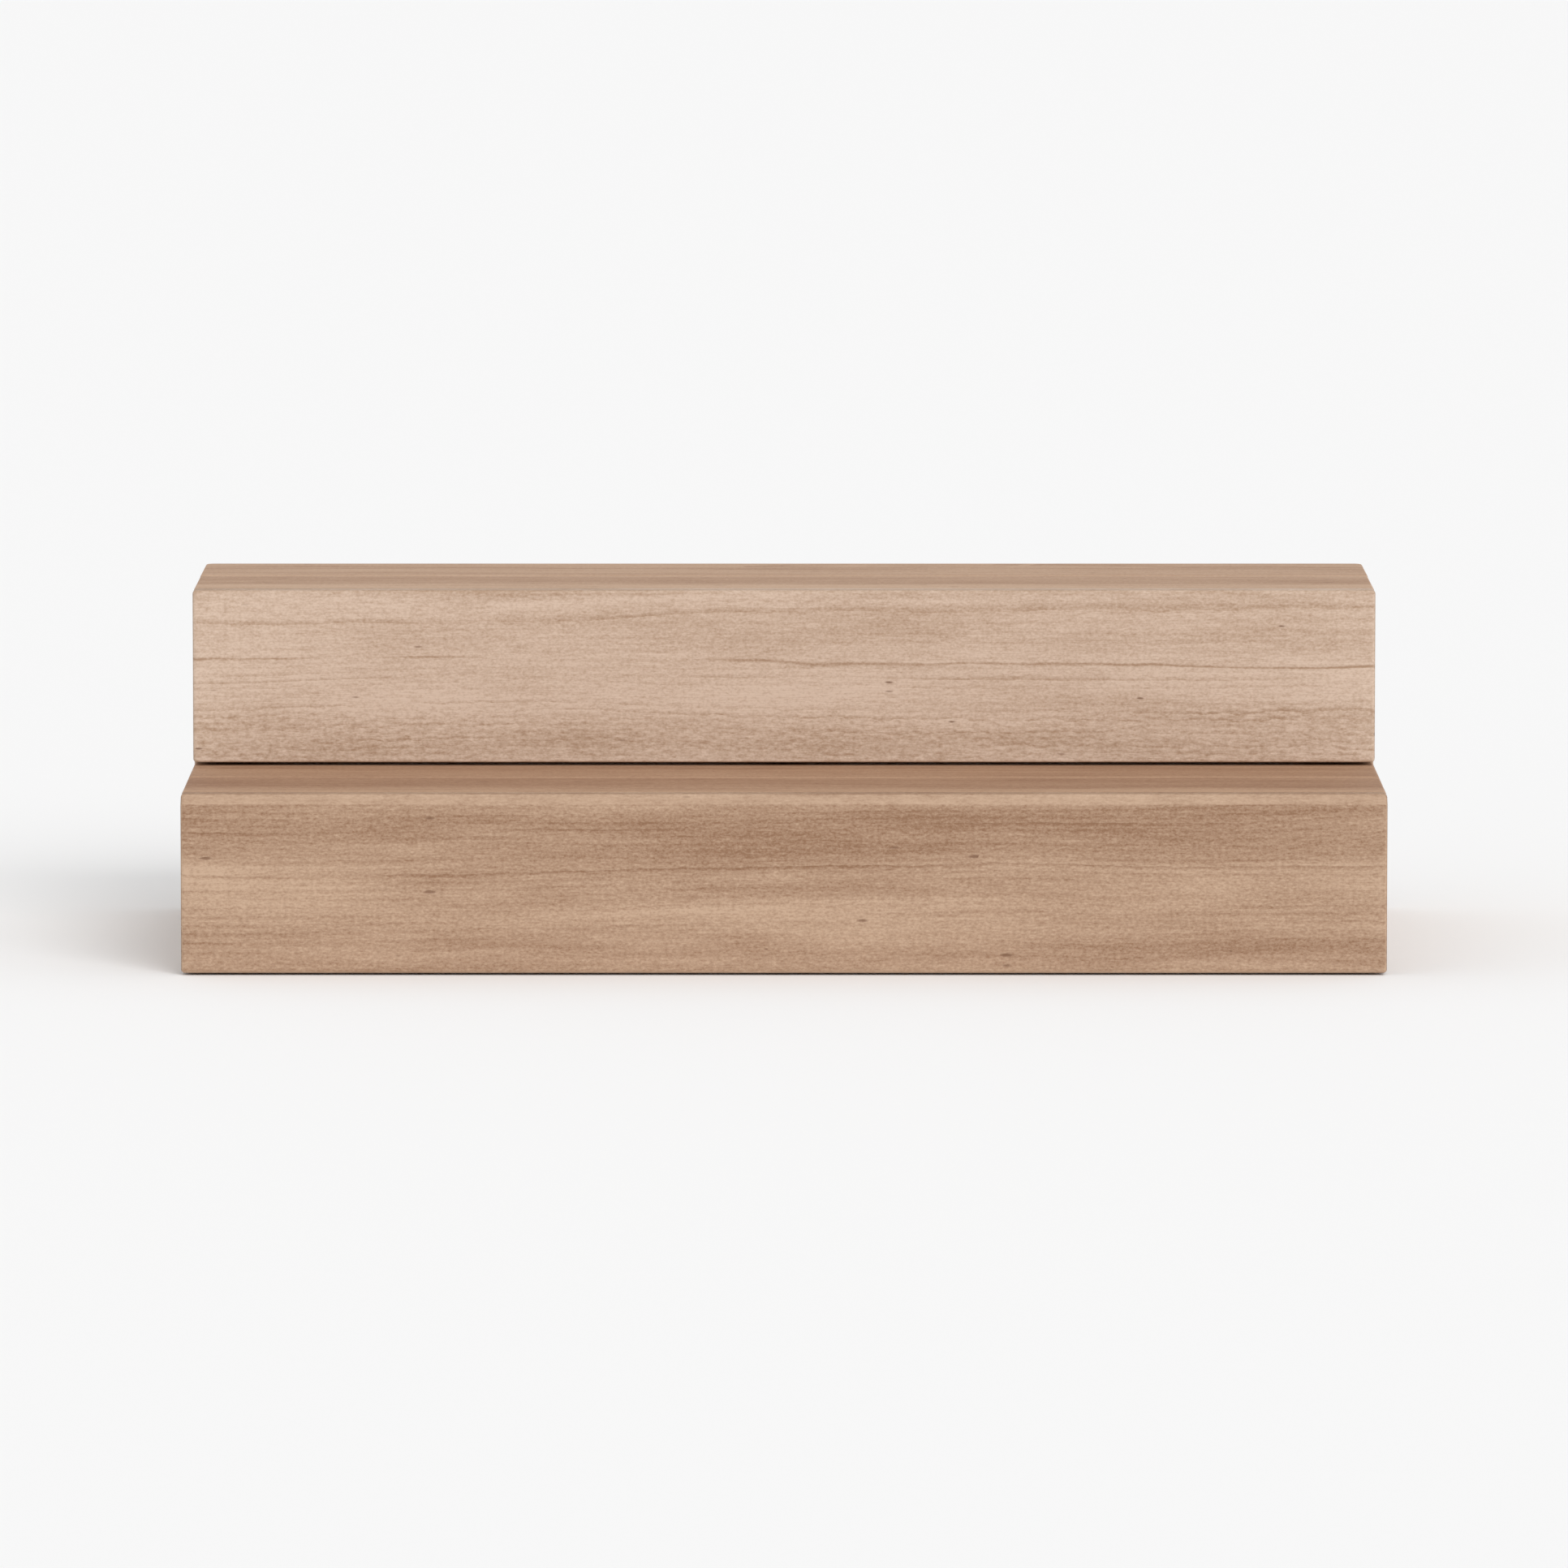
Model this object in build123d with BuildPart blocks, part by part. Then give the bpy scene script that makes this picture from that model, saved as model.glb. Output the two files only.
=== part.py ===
from build123d import *
import os

# Two-step wooden spa steps: boxed risers and treads on a frame of posts and bearers.
# Front faces -Y, the width runs along X and +Z is up. The origin is on the floor,
# under the middle of the width and depth. Left is -X. All sizes are millimetres.

# Driving dimensions
WIDTH = 1076.0
STEP_RISE = 160.0
STEP_GOING = 258.0
DRAIN_GAP = 3.0
RISER_THICKNESS = 28.0
TREAD_THICKNESS = 38.0
TREAD_BOARD_GAP = 3.0
SIDE_THICKNESS = 28.0
RAIL_THICKNESS = 28.0
RAIL_HEIGHT = 89.0
BOTTOM_RAIL_LIFT = 76.0
POST_SIZE = 38.0
FOOT_SIZE = 36.0
FOOT_THICKNESS = 5.0
BOARD_BOTTOM = 2.0
FOOT_CORNER = 4.0
FOOT_EDGE = 0.8

# Arrises, planed off at 45 degrees
LOWER_NOSE = 8.5
UPPER_NOSE = 2.0
FACE_ARRIS = 3.0
BOARD_ARRIS = 1.5
BOARD_END_ARRIS = 2.5
TREAD_CORNER = 8.0
FRAME_ARRIS = 2.0
FRAME_END_ARRIS = 1.0

# Countersunk wood screws, with a hexagonal socket
SCREW_RADIUS = 2.25
SCREW_HEAD_RADIUS = 4.5
SCREW_CLEARANCE = 0.05
SCREW_TIP_LENGTH = 6.0
SCREW_TIP_RADIUS = 0.4
SOCKET_RADIUS = 2.0
SOCKET_DEPTH = 1.5
COUNTERSINK_RADIUS = 5.0
COUNTERSINK_ANGLE = 90.0

# Screw lengths, from the surface that each head is sunk in
TREAD_SCREW = 60.0
RISER_SCREW = 55.0
BEARER_SCREW = 75.0
SIDE_SCREW = 55.0
RAIL_SCREW = 50.0
FOOT_SCREW = 25.0

# Depths along Y
TOTAL_DEPTH = RISER_THICKNESS + 2 * STEP_GOING
FRONT = -TOTAL_DEPTH / 2
BACK = TOTAL_DEPTH / 2
LOWER_RISER_BACK = FRONT + RISER_THICKNESS
UPPER_RISER_FRONT = FRONT + STEP_GOING
UPPER_RISER_BACK = UPPER_RISER_FRONT + RISER_THICKNESS
TREAD_BOARD_WIDTH = (STEP_GOING - TREAD_BOARD_GAP) / 2
RAIL_FRONT = BACK - RAIL_THICKNESS

# Heights along Z
FRAME_BOTTOM = FOOT_THICKNESS
LOWER_TOP = BOARD_BOTTOM + STEP_RISE
UPPER_TOP = LOWER_TOP + STEP_RISE
LOWER_UNDERSIDE = LOWER_TOP - TREAD_THICKNESS
UPPER_UNDERSIDE = UPPER_TOP - TREAD_THICKNESS
RAIL_BOTTOMS = {"bottom": FRAME_BOTTOM + BOTTOM_RAIL_LIFT, "top": UPPER_UNDERSIDE - RAIL_HEIGHT}

# The frame's columns, along X
HALF_WIDTH = WIDTH / 2
SIDE_INNER = HALF_WIDTH - SIDE_THICKNESS
HALF_POST = POST_SIZE / 2
COLUMNS = {"left": HALF_POST - SIDE_INNER, "centre": 0.0, "right": SIDE_INNER - HALF_POST}
SIDES = {"left": -1, "right": 1}

# The frame's rows: the middle of each post along Y, and its top
FRONT_ROW = LOWER_RISER_BACK + HALF_POST
MIDDLE_ROW = UPPER_RISER_BACK + HALF_POST
REAR_ROW = RAIL_FRONT - HALF_POST
ROWS = {
    "front": (FRONT_ROW, LOWER_UNDERSIDE),
    "middle": (MIDDLE_ROW, UPPER_UNDERSIDE),
    "rear": (REAR_ROW, UPPER_UNDERSIDE),
}

# Each bearer spans between two posts: its front, its back and its top
BEARERS = {
    "lower": (FRONT_ROW + HALF_POST, MIDDLE_ROW - HALF_POST, LOWER_UNDERSIDE),
    "upper": (MIDDLE_ROW + HALF_POST, REAR_ROW - HALF_POST, UPPER_UNDERSIDE),
}

# Screw places: heights over the floor, depths along Y and offsets from a middle line
LOWER_RISER_SCREW_HEIGHTS = (30.0, 70.0)
UPPER_RISER_SCREW_HEIGHTS = (195.0, 225.0)
LOWER_SIDE_SCREW_HEIGHTS = (50.0, 90.0)
UPPER_SIDE_SCREW_HEIGHTS = (150.0, 238.0)
RAIL_SCREW_OFFSETS = (-16.0, 16.0)
TREAD_SCREW_STAGGER = 10.0
TREAD_SCREW_DEPTHS = {
    "lower": (-190.0, -135.0, -95.0, -10.0),
    "upper": (70.0, 120.0, 160.0, 192.0),
}

# Which way a screw's head faces
FORWARD = (0, -1, 0)
BACKWARD = (0, 1, 0)
DOWNWARD = (0, 0, -1)


def places(points, facing):
    """A plane at each screw's head, on the wood and facing out of it."""
    return [Plane(origin=point, z_dir=facing) for point in points]


def tread_screw_places():
    """Up through each bearer, staggered to either side of its middle line."""
    points = []
    for level, (front, back, top) in BEARERS.items():
        for column, x in COLUMNS.items():
            outward = SIDES.get(column, 1) * TREAD_SCREW_STAGGER
            for count, y in enumerate(TREAD_SCREW_DEPTHS[level]):
                stagger = outward if count % 2 else -outward
                points.append((x + stagger, y, top - POST_SIZE))
    return places(points, DOWNWARD)


def riser_screw_places():
    """Forward through the front and middle posts, from behind."""
    points = []
    for x in COLUMNS.values():
        points += [(x, FRONT_ROW + HALF_POST, z) for z in LOWER_RISER_SCREW_HEIGHTS]
        points += [(x, MIDDLE_ROW + HALF_POST, z) for z in UPPER_RISER_SCREW_HEIGHTS]
    return places(points, BACKWARD)


def bearer_screw_places():
    """Through the posts at both ends of each bearer, into its end grain."""
    fronts = []
    backs = []
    for front, back, top in BEARERS.values():
        fronts += [(x, front - POST_SIZE, top - HALF_POST) for x in COLUMNS.values()]
        backs += [(x, back + POST_SIZE, top - HALF_POST) for x in COLUMNS.values()]
    return places(fronts, FORWARD) + places(backs, BACKWARD)


def side_screw_places():
    """Outward through the posts at each side, into the side boards."""
    found = []
    for side in SIDES.values():
        points = []
        for y, top in ROWS.values():
            heights = LOWER_SIDE_SCREW_HEIGHTS
            if top > LOWER_TOP:
                heights += UPPER_SIDE_SCREW_HEIGHTS
            points += [(side * (SIDE_INNER - POST_SIZE), y, z) for z in heights]
        found += places(points, (-side, 0, 0))
    return found


def rail_screw_places():
    """Forward through the rear rails, into the rear posts."""
    points = []
    for bottom in RAIL_BOTTOMS.values():
        middle = bottom + RAIL_HEIGHT / 2
        points += [(x, BACK, middle + z) for x in COLUMNS.values() for z in RAIL_SCREW_OFFSETS]
    return places(points, BACKWARD)


def foot_screw_places():
    """Up through the foot pads, into the posts' lower ends."""
    return places([(x, y, 0) for x in COLUMNS.values() for y, top in ROWS.values()], DOWNWARD)


# Each kind of screw: its places, the thickness it passes through first, and its length
SCREWS = {
    "tread_screws": (tread_screw_places(), POST_SIZE, TREAD_SCREW),
    "riser_screws": (riser_screw_places(), POST_SIZE, RISER_SCREW),
    "bearer_screws": (bearer_screw_places(), POST_SIZE, BEARER_SCREW),
    "side_board_screws": (side_screw_places(), POST_SIZE, SIDE_SCREW),
    "rear_rail_screws": (rail_screw_places(), RAIL_THICKNESS, RAIL_SCREW),
    "foot_pad_screws": (foot_screw_places(), FOOT_THICKNESS, FOOT_SCREW),
}


def starting_in(piece, surfaces):
    """The planes just under which the piece has wood."""
    box = piece.part.bounding_box()
    found = []
    for surface in surfaces:
        x, y, z = surface.offset(-1).origin
        if box.min.X < x < box.max.X and box.min.Y < y < box.max.Y and box.min.Z < z < box.max.Z:
            found.append(surface)
    return found


def drill(piece):
    """Countersunk holes where screws start in the piece, and plain ones where they end in it."""
    for heads, thickness, length in SCREWS.values():
        starts = starting_in(piece, heads)
        ends = starting_in(piece, [head.offset(-thickness) for head in heads])
        if starts:
            with Locations(*starts):
                CounterSinkHole(SCREW_RADIUS, COUNTERSINK_RADIUS, thickness, COUNTERSINK_ANGLE)
        if ends:
            with Locations(*ends):
                Hole(SCREW_RADIUS, length - thickness)


def end_edges(piece, axis):
    """The edges round both end faces of a piece whose length runs along axis."""
    ends = piece.faces().filter_by(axis).sort_by(axis)
    return ends[0].edges() + ends[-1].edges()


def write(piece, label):
    piece.part.label = label
    export_step(piece.part, f"parts/{label}.step")


def board_along_x(label, half_length, front, back, bottom, top, arris, end_arris):
    with BuildPart() as board:
        with BuildSketch(Plane.YZ.offset(-half_length)) as section:
            with Locations(((front + back) / 2, (bottom + top) / 2)):
                Rectangle(back - front, top - bottom)
            chamfer(section.vertices(), arris)
        extrude(amount=2 * half_length)
        chamfer(end_edges(board, Axis.X), end_arris)
        drill(board)
    write(board, label)


def round_cornered_board(label, half_length, front, back, bottom, top, arris, end_arris, corner):
    """A board along X whose two back corners are rounded, as seen from above."""
    with BuildPart() as board:
        with BuildSketch(Plane.XY.offset(bottom)) as outline:
            with Locations((0, (front + back) / 2)):
                Rectangle(2 * half_length, back - front)
            fillet(outline.vertices().group_by(Axis.Y)[-1], corner)
            chamfer(outline.vertices().group_by(Axis.Y)[0], end_arris)
        extrude(amount=top - bottom)
        chamfer(board.faces().filter_by(Axis.Z).edges(), arris)
        drill(board)
    write(board, label)


def board_along_y(label, x_low, x_high, front, back, bottom, top, arris, end_arris):
    with BuildPart() as board:
        with BuildSketch(Plane.XZ.offset(-back)) as section:
            with Locations(((x_low + x_high) / 2, (bottom + top) / 2)):
                Rectangle(x_high - x_low, top - bottom)
            chamfer(section.vertices(), arris)
        extrude(amount=back - front)
        chamfer(end_edges(board, Axis.Y), end_arris)
        drill(board)
    write(board, label)


def post(label, x, y, bottom, top):
    with BuildPart() as upright:
        with BuildSketch(Plane.XY.offset(bottom)) as section:
            with Locations((x, y)):
                Rectangle(POST_SIZE, POST_SIZE)
            chamfer(section.vertices(), FRAME_ARRIS)
        extrude(amount=top - bottom)
        chamfer(end_edges(upright, Axis.Z), FRAME_END_ARRIS)
        drill(upright)
    write(upright, label)


def riser(label, front, bottom, top, nose, foot):
    """A board on edge, its top front arris planed off by nose and its bottom one by foot."""
    with BuildPart() as board:
        with BuildSketch(Plane.YZ.offset(-HALF_WIDTH)) as section:
            with Locations((front + RISER_THICKNESS / 2, (bottom + top) / 2)):
                Rectangle(RISER_THICKNESS, top - bottom)
            chamfer(section.vertices().group_by(Axis.Y)[-1].sort_by(Axis.X)[0], nose)
            chamfer(section.vertices().group_by(Axis.Y)[0].sort_by(Axis.X)[0], foot)
            chamfer(section.vertices().group_by(Axis.X)[-1], BOARD_ARRIS)
        extrude(amount=WIDTH)
        chamfer(end_edges(board, Axis.X), BOARD_END_ARRIS)
        drill(board)
    write(board, label)


def tread(level, front, top):
    """Two boards with a drainage gap between them, laid side by side behind a riser.

    The open back corners of the upper tread are rounded.
    """
    depths = {"front": front, "back": front + TREAD_BOARD_WIDTH + TREAD_BOARD_GAP}
    for place, edge in depths.items():
        label = f"{level}_tread_{place}_board"
        box = (HALF_WIDTH, edge, edge + TREAD_BOARD_WIDTH, top - TREAD_THICKNESS, top)
        if (level, place) == ("upper", "back"):
            round_cornered_board(label, *box, BOARD_ARRIS, BOARD_END_ARRIS, TREAD_CORNER)
        else:
            board_along_x(label, *box, BOARD_ARRIS, BOARD_END_ARRIS)


def side_boards(side, sign):
    """The lower board runs under both treads, the upper one stands on its rear half."""
    x_low, x_high = sorted((sign * SIDE_INNER, sign * HALF_WIDTH))
    boards = {
        "lower": (LOWER_RISER_BACK, BOARD_BOTTOM, LOWER_UNDERSIDE),
        "upper": (UPPER_RISER_BACK, LOWER_UNDERSIDE, UPPER_UNDERSIDE),
    }
    for level, (front, bottom, top) in boards.items():
        label = f"{side}_{level}_side_board"
        board_along_y(label, x_low, x_high, front, BACK, bottom, top, BOARD_ARRIS, BOARD_END_ARRIS)


def foot_pad(label, x, y):
    with BuildPart() as pad:
        with BuildSketch() as outline:
            with Locations((x, y)):
                RectangleRounded(FOOT_SIZE, FOOT_SIZE, FOOT_CORNER)
        extrude(amount=FOOT_THICKNESS)
        chamfer(pad.faces().sort_by(Axis.Z)[0].edges(), FOOT_EDGE)
        drill(pad)
    write(pad, label)


def screws(label, heads, length):
    """One screw, its head just sunk, repeated at each place as a separate solid."""
    head = SCREW_HEAD_RADIUS - SCREW_CLEARANCE
    shank = SCREW_RADIUS - SCREW_CLEARANCE
    sunk = COUNTERSINK_RADIUS - SCREW_HEAD_RADIUS
    with BuildPart() as screw:
        with BuildSketch(Plane.XZ) as profile:
            with BuildLine():
                Polyline(
                    (0, -sunk),
                    (head, -sunk),
                    (shank, -sunk - head + shank),
                    (shank, SCREW_TIP_LENGTH - length),
                    (SCREW_TIP_RADIUS, SCREW_CLEARANCE - length),
                    (0, SCREW_CLEARANCE - length),
                    close=True,
                )
            make_face()
        revolve(axis=Axis.Z)
        with BuildSketch(Plane.XY.offset(-sunk)) as socket:
            RegularPolygon(SOCKET_RADIUS, 6)
        extrude(amount=-SOCKET_DEPTH, mode=Mode.SUBTRACT)
    with BuildPart() as group:
        with Locations(*heads):
            add(screw.part)
    write(group, label)


os.makedirs("parts", exist_ok=True)

riser("lower_riser", FRONT, BOARD_BOTTOM, LOWER_TOP, LOWER_NOSE, FACE_ARRIS)
riser("upper_riser", UPPER_RISER_FRONT, LOWER_TOP + DRAIN_GAP, UPPER_TOP, UPPER_NOSE, BOARD_ARRIS)
tread("lower", LOWER_RISER_BACK, LOWER_TOP)
tread("upper", UPPER_RISER_BACK, UPPER_TOP)

for side, sign in SIDES.items():
    side_boards(side, sign)

for rail, bottom in RAIL_BOTTOMS.items():
    board_along_x(
        f"rear_{rail}_rail",
        SIDE_INNER,
        RAIL_FRONT,
        BACK,
        bottom,
        bottom + RAIL_HEIGHT,
        FRAME_ARRIS,
        FRAME_END_ARRIS,
    )

for column, x in COLUMNS.items():
    for row, (y, top) in ROWS.items():
        post(f"{column}_{row}_post", x, y, FRAME_BOTTOM, top)
        foot_pad(f"{column}_{row}_foot_pad", x, y)
    for level, (front, back, top) in BEARERS.items():
        board_along_y(
            f"{column}_{level}_bearer",
            x - HALF_POST,
            x + HALF_POST,
            front,
            back,
            top - POST_SIZE,
            top,
            FRAME_ARRIS,
            FRAME_END_ARRIS,
        )

for kind, (heads, thickness, length) in SCREWS.items():
    screws(kind, heads, length)
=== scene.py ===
import math
import random

import bmesh
import bpy
from bpy.props import FloatProperty, FloatVectorProperty, IntProperty, PointerProperty
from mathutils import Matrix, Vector, noise


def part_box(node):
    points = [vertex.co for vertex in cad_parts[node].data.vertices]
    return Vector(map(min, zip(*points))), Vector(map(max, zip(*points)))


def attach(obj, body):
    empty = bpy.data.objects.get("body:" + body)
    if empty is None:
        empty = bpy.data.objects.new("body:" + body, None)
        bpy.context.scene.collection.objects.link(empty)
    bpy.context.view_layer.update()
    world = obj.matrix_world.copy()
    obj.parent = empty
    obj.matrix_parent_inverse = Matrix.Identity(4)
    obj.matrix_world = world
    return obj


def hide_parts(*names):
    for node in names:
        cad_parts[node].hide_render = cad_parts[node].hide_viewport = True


bl_info = {
    "name": "Spa Steps",
    "version": (1, 0, 0),
    "blender": (4, 5, 0),
    "location": "View3D > Sidebar > Spa Steps",
    "description": "Dresses the frame of wooden spa steps in eased boards, grain, screws and rubber",
    "category": "Add Mesh",
}

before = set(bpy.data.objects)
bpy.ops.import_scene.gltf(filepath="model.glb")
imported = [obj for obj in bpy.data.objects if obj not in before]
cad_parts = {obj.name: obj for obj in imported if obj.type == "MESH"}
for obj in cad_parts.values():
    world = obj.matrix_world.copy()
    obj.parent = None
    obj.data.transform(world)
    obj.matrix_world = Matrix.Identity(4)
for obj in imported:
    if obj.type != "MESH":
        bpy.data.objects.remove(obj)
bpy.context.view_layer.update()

AXES = "XYZ"
COLUMNS = ("left", "centre", "right")
ROWS = ("front", "middle", "rear")
MM = 0.001


def linear(red, green, blue):
    """The linear colour of one given as 0 to 255 display values."""
    found = []
    for value in (red, green, blue):
        value /= 255
        found.append(value / 12.92 if value <= 0.04045 else ((value + 0.055) / 1.055) ** 2.4)
    return tuple(found)


def length_property(name, description, default):
    """A length that can't be negative."""
    return FloatProperty(name=name, description=description, default=default, min=0.0, unit="LENGTH")


def colour_property(name, description, default):
    """A linear colour, red, green and blue."""
    return FloatVectorProperty(
        name=name, description=description, default=default, min=0.0, max=1.0, size=3, subtype="COLOR"
    )


class SpaStepsSizes(bpy.types.PropertyGroup):
    """Sizes of the edge work, the grain and the screws."""

    lower_nose: length_property("Lower Nose", "Planed off the top front arris of the lower riser", 8.5 * MM)
    upper_nose: length_property("Upper Nose", "Planed off the top front arris of the upper riser", 2 * MM)
    arris: length_property("Arris", "Radius of the eased arrises that hands and feet meet", 3 * MM)
    joint_arris: length_property("Joint Arris", "Radius of the arrises at joints between boards", 1.5 * MM)
    arris_wear: length_property("Arris Wear", "Deepest dent along a worn arris", 0.35 * MM)
    ring_spacing: length_property("Ring Spacing", "Thickness of one year's growth", 5.5 * MM)
    tread_corner: length_property("Tread Corner", "Radius of the upper tread's two back corners", 8 * MM)
    screw_head: length_property("Screw Head", "Radius of a screw's head", 4.45 * MM)
    screw_shank: length_property("Screw Shank", "Radius of a screw's shank", 2.2 * MM)
    screw_recess: length_property("Screw Recess", "Depth of the star recess in a screw's head", 1.9 * MM)
    grain_seed: IntProperty(
        name="Grain Seed", description="Picks the log that the boards come from", default=3
    )


class SpaStepsColours(bpy.types.PropertyGroup):
    """Colours of the timber, pale and deep, and of the hardware and floor."""

    upper_pale: colour_property("Upper Riser Pale", "Early wood of the upper riser", linear(209, 186, 167))
    upper_deep: colour_property("Upper Riser Deep", "Late wood of the upper riser", linear(164, 134, 109))
    lower_pale: colour_property("Lower Riser Pale", "Early wood of the lower riser", linear(189, 160, 135))
    lower_deep: colour_property("Lower Riser Deep", "Late wood of the lower riser", linear(136, 101, 75))
    upper_tread_pale: colour_property(
        "Upper Tread Pale", "Early wood of the upper tread", linear(196, 164, 137)
    )
    upper_tread_deep: colour_property(
        "Upper Tread Deep", "Late wood of the upper tread", linear(158, 122, 95)
    )
    # The lower tread shares the upper tread's timber; its colours are darker copies, painted shade under the
    # upper step
    lower_tread_shaded_pale: colour_property(
        "Lower Tread Shaded Pale", "Early wood of the lower tread, darkened as painted shade", linear(182, 147, 119)
    )
    lower_tread_shaded_deep: colour_property(
        "Lower Tread Shaded Deep", "Late wood of the lower tread, darkened as painted shade", linear(142, 104, 78)
    )
    frame_pale: colour_property("Frame Pale", "Early wood of the hidden frame", linear(194, 166, 140))
    frame_deep: colour_property("Frame Deep", "Late wood of the hidden frame", linear(146, 111, 84))
    fleck: colour_property("Fleck", "Pin marks and gum streaks", linear(112, 78, 56))
    steel: colour_property("Steel", "Stainless steel screws", linear(178, 174, 168))
    rubber: colour_property("Rubber", "Foot pads", linear(42, 42, 43))
    floor: colour_property("Floor", "Studio floor", linear(247, 247, 247))


# Boards

LEAST_RADIUS = 0.1 * MM


def rounded_outline(corners, inset, steps):
    """A convex outline pulled in by inset, its corners (u, v, radius) rounded in steps.

    Gives points and, for each, how far it is into a rounded corner, from 0 to 1.
    """
    middle = [Vector(corner[:2]) for corner in corners]
    count = len(middle)
    points = []
    for i, (*_, radius) in enumerate(corners):
        into = (middle[i] - middle[i - 1]).normalized()
        out_of = (middle[(i + 1) % count] - middle[i]).normalized()
        normal_in = Vector((into.y, -into.x))
        normal_out = Vector((out_of.y, -out_of.x))
        mitre = (normal_in + normal_out) / (1 + normal_in.dot(normal_out))
        turn = normal_in.angle(normal_out)
        round_radius = max(radius - inset, LEAST_RADIUS)
        centre = middle[i] - mitre * (inset + round_radius)
        for step in range(steps + 1):
            share = step / steps
            angle = turn * share
            normal = Vector(
                (
                    normal_in.x * math.cos(angle) - normal_in.y * math.sin(angle),
                    normal_in.x * math.sin(angle) + normal_in.y * math.cos(angle),
                )
            )
            points.append((centre + normal * round_radius, math.sin(math.pi * share)))
    return points


def run_divisions(points, span, hold):
    """How far along each straight run of an outline its extra points lie, as shares of the run."""
    found = []
    for i, (point, _) in enumerate(points):
        run = (points[(i + 1) % len(points)][0] - point).length
        pieces = max(1, round(run / span))
        inner = [k / pieces for k in range(1, pieces)]
        found.append([hold / run, *inner, 1 - hold / run] if run > 4 * hold else [])
    return found


def divided(points, divisions):
    """The outline with the extra points of its straight runs."""
    found = []
    for i, (point, bend) in enumerate(points):
        run = points[(i + 1) % len(points)][0] - point
        found.append((point, bend))
        found += [(point + run * share, 0.0) for share in divisions[i]]
    return found


def stations(low, high, radius, steps, span, hold):
    """Places along a board, from end to end: position, inset of the outline and bend, from 0 to 1."""
    ends = [(0.0, radius + hold, 0.0)]
    for step in range(steps + 1):
        angle = math.pi / 2 * (1 - step / steps)
        ends.append((radius * (1 - math.sin(angle)), radius * (1 - math.cos(angle)), math.sin(2 * angle)))
    ends.append((radius + hold, 0.0, 0.0))
    pieces = max(1, round((high - low) / span))
    middle = [low + (high - low) * k / pieces for k in range(1, pieces)]
    found = [(low + place, inset, bend) for place, inset, bend in ends]
    found += [(place, 0.0, 0.0) for place in middle]
    found += [(high - place, inset, bend) for place, inset, bend in reversed(ends)]
    return found


def board_mesh(name, corners, along, low, high, end_radius, wear):
    """A closed board: its section swept along one axis, with rounded ends and slightly worn arrises."""
    arc_steps = 4
    span = 14 * MM
    hold = 0.5 * MM
    wear_grain = 45
    across, up = (along + 1) % 3, (along + 2) % 3
    divisions = run_divisions(rounded_outline(corners, 0.0, arc_steps), span, hold)
    middle = sum((Vector(corner[:2]) for corner in corners), Vector((0, 0))) / len(corners)
    places = stations(low, high, end_radius, arc_steps, span, hold)
    vertices = []
    for place, inset, end_bend in places:
        for point, bend in divided(rounded_outline(corners, inset, arc_steps), divisions):
            roughness = 0.5 + 0.5 * noise.noise(Vector((place, *point)) * wear_grain)
            point = point + (middle - point).normalized() * wear * max(bend, end_bend) * roughness
            vertex = Vector((0, 0, 0))
            vertex[along] = place
            vertex[across], vertex[up] = point
            vertices.append(vertex)
    ring = len(vertices) // len(places)
    faces = []
    for station in range(len(places) - 1):
        for i in range(ring):
            a = station * ring + i
            b = station * ring + (i + 1) % ring
            faces.append((a, b, b + ring, a + ring))
    faces.append(tuple(reversed(range(ring))))
    faces.append(tuple(range(len(vertices) - ring, len(vertices))))
    mesh = bpy.data.meshes.new(name)
    mesh.from_pydata(vertices, [], faces)
    mesh.shade_smooth()
    return mesh


def flat_section(low, high, along, arris):
    """The corners of a plain rectangular section between two corners of a box."""
    across, up = (along + 1) % 3, (along + 2) % 3
    return [
        (low[across], low[up], arris),
        (high[across], low[up], arris),
        (high[across], high[up], arris),
        (low[across], high[up], arris),
    ]


def round_backed_outline(low, high, arris, corner):
    """The corners in X and Y of a board seen from above, with its two back ones rounded."""
    return [
        (low.x, low.y, arris),
        (high.x, low.y, arris),
        (high.x, high.y, corner),
        (low.x, high.y, corner),
    ]


def riser_section(low, high, nose, bottom_arris, back_arris):
    """The corners of a riser's section in Y and Z, its top front arris planed off by nose."""
    planed_arris = 0.8 * MM
    return [
        (low.y, low.z, bottom_arris),
        (high.y, low.z, back_arris),
        (high.y, high.z, back_arris),
        (low.y + nose, high.z, planed_arris),
        (low.y, high.z - nose, planed_arris),
    ]


# Node trees

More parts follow.
